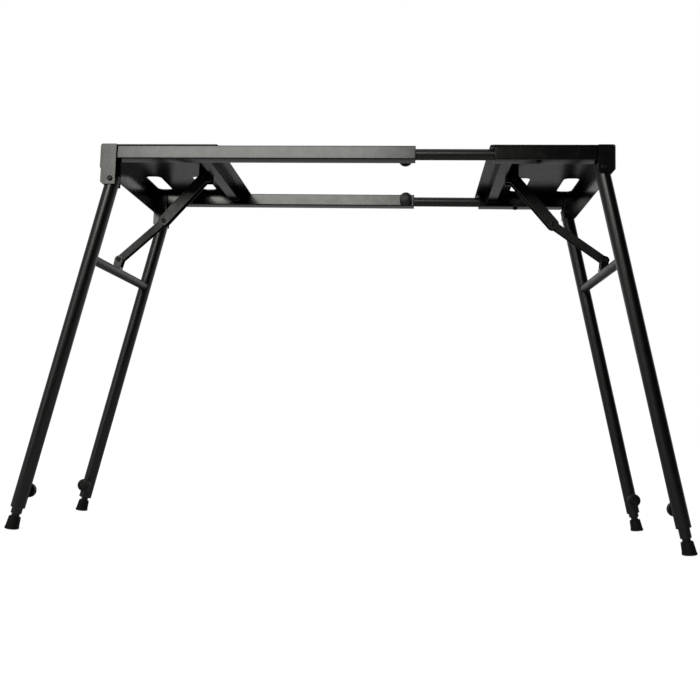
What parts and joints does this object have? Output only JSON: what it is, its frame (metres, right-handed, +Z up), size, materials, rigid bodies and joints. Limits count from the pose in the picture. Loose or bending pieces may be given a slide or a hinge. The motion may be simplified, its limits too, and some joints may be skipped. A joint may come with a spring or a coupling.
{
  "type": "keyboard stand",
  "caption": "Folding keyboard stand in black tube and sheet steel: end decks on telescoping rails, inward-folding leg frames with sliding legs, folding braces and clamp knobs.",
  "frame": {"origin": "middle of the overall box, on the floor", "axes": "+X along the rails to the viewer's right, +Y away from the viewer, +Z up"},
  "size_m": [1.2112, 0.3414, 0.708],
  "materials": {
    "black_coat": "satin black powder coat",
    "black_hardware": "black oxide, slightly glossy",
    "black_plastic": "fine-grained black moulding",
    "black_rubber": "matt black rubber"
  },
  "bodies": {
    "left_unit": {"left_deck": "black_coat", "left_front_rail": "black_coat", "left_back_rail": "black_coat", "left_rail_bushes": "black_plastic", "left_front_bracket": "black_coat", "left_back_bracket": "black_coat", "left_cross_channel": "black_coat", "left_brace_bracket": "black_coat", "left_brace_rivet": "black_hardware", "left_pivot_bolts": "black_hardware"},
    "right_unit": {"right_deck": "black_coat", "right_front_rail": "black_coat", "right_back_rail": "black_coat", "right_rail_bushes": "black_plastic", "front_slide_tube": "black_coat", "back_slide_tube": "black_coat", "tube_screws": "black_hardware", "right_front_bracket": "black_coat", "right_back_bracket": "black_coat", "right_cross_channel": "black_coat", "right_brace_bracket": "black_coat", "right_brace_rivet": "black_hardware", "right_pivot_bolts": "black_hardware"},
    "left_leg_frame": {"left_front_leg_tube": "black_coat", "left_back_leg_tube": "black_coat", "left_cross_bar": "black_coat", "left_clevis": "black_coat", "left_clevis_rivets": "black_hardware", "left_leg_bushes": "black_plastic"},
    "left_upper_link": {"left_upper_link": "black_coat", "left_elbow_rivet": "black_hardware"},
    "left_lower_link": {"left_lower_link": "black_coat"},
    "left_front_leg": {"left_front_inner_tube": "black_coat", "left_front_stud": "black_plastic", "left_front_foot": "black_rubber"},
    "left_front_knob": {"left_front_leg_knob": "black_plastic"},
    "left_back_leg": {"left_back_inner_tube": "black_coat", "left_back_stud": "black_plastic", "left_back_foot": "black_rubber"},
    "left_back_knob": {"left_back_leg_knob": "black_plastic"},
    "right_leg_frame": {"right_front_leg_tube": "black_coat", "right_back_leg_tube": "black_coat", "right_cross_bar": "black_coat", "right_clevis": "black_coat", "right_clevis_rivets": "black_hardware", "right_leg_bushes": "black_plastic"},
    "right_upper_link": {"right_upper_link": "black_coat", "right_elbow_rivet": "black_hardware"},
    "right_lower_link": {"right_lower_link": "black_coat"},
    "right_front_leg": {"right_front_inner_tube": "black_coat", "right_front_stud": "black_plastic", "right_front_foot": "black_rubber"},
    "right_front_knob": {"right_front_leg_knob": "black_plastic"},
    "right_back_leg": {"right_back_inner_tube": "black_coat", "right_back_stud": "black_plastic", "right_back_foot": "black_rubber"},
    "right_back_knob": {"right_back_leg_knob": "black_plastic"},
    "rail_front_knob": {"front_rail_knob": "black_plastic"},
    "rail_back_knob": {"back_rail_knob": "black_plastic"}
  },
  "joints": [
    {"name": "width_slide", "type": "slide", "parent": "left_unit", "child": "right_unit", "axis": [1, 0, 0], "range_m": [-0.13, 0.2]},
    {"name": "left_leg_fold", "type": "hinge", "parent": "left_unit", "child": "left_leg_frame", "pos_m": [-0.44157, 0, 0.6425], "axis": [0, -1, 0], "range_deg": [0, 95.5]},
    {"name": "left_brace_top", "type": "hinge", "parent": "left_unit", "child": "left_upper_link", "pos_m": [-0.30607, -0.02, 0.6869], "axis": [0, -1, 0], "range_deg": [-46.7, 0]},
    {"name": "left_brace_elbow", "type": "hinge", "parent": "left_upper_link", "child": "left_lower_link", "pos_m": [-0.38247, -0.02, 0.60014], "axis": [0, -1, 0], "range_deg": [0, 156]},
    {"name": "left_front_leg_slide", "type": "slide", "parent": "left_leg_frame", "child": "left_front_leg", "axis": [-0.2283, 0, -0.9736], "range_m": [0, 0.2]},
    {"name": "left_front_knob_turn", "type": "hinge", "parent": "left_leg_frame", "child": "left_front_knob", "pos_m": [-0.57638, -0.1525, 0.06775], "axis": [0, 1, 0], "range_deg": [0, 360]},
    {"name": "left_back_leg_slide", "type": "slide", "parent": "left_leg_frame", "child": "left_back_leg", "axis": [-0.2283, 0, -0.9736], "range_m": [0, 0.2]},
    {"name": "left_back_knob_turn", "type": "hinge", "parent": "left_leg_frame", "child": "left_back_knob", "pos_m": [-0.57873, 0.1525, 0.05775], "axis": [0, -1, 0], "range_deg": [0, 360]},
    {"name": "right_leg_fold", "type": "hinge", "parent": "right_unit", "child": "right_leg_frame", "pos_m": [0.44803, 0, 0.6675], "axis": [0, 1, 0], "range_deg": [0, 100.5]},
    {"name": "right_brace_top", "type": "hinge", "parent": "right_unit", "child": "right_upper_link", "pos_m": [0.31123, -0.02, 0.688], "axis": [0, 1, 0], "range_deg": [-42.5, 0]},
    {"name": "right_brace_elbow", "type": "hinge", "parent": "right_upper_link", "child": "right_lower_link", "pos_m": [0.3861, -0.02, 0.59989], "axis": [0, 1, 0], "range_deg": [0, 179.7]},
    {"name": "right_front_leg_slide", "type": "slide", "parent": "right_leg_frame", "child": "right_front_leg", "axis": [0.2113, 0, -0.9774], "range_m": [0, 0.2]},
    {"name": "right_front_knob_turn", "type": "hinge", "parent": "right_leg_frame", "child": "right_front_knob", "pos_m": [0.57638, -0.1525, 0.07386], "axis": [0, 1, 0], "range_deg": [0, 360]},
    {"name": "right_back_leg_slide", "type": "slide", "parent": "right_leg_frame", "child": "right_back_leg", "axis": [0.2113, 0, -0.9774], "range_m": [0, 0.2]},
    {"name": "right_back_knob_turn", "type": "hinge", "parent": "right_leg_frame", "child": "right_back_knob", "pos_m": [0.57832, 0.1525, 0.06486], "axis": [0, -1, 0], "range_deg": [0, 360]},
    {"name": "rail_front_knob_turn", "type": "hinge", "parent": "left_unit", "child": "rail_front_knob", "pos_m": [0.09973, -0.1525, 0.6935], "axis": [0, 1, 0], "range_deg": [0, 360]},
    {"name": "rail_back_knob_turn", "type": "hinge", "parent": "left_unit", "child": "rail_back_knob", "pos_m": [0.09973, 0.1525, 0.6935], "axis": [0, -1, 0], "range_deg": [0, 360]}
  ],
  "couplings": [
    {"joint": "left_brace_top", "follows": "left_leg_fold", "ratio": -0.48384},
    {"joint": "left_brace_elbow", "follows": "left_leg_fold", "ratio": 1.6286},
    {"joint": "right_brace_top", "follows": "right_leg_fold", "ratio": -0.41778},
    {"joint": "right_brace_elbow", "follows": "right_leg_fold", "ratio": 1.7828}
  ]
}
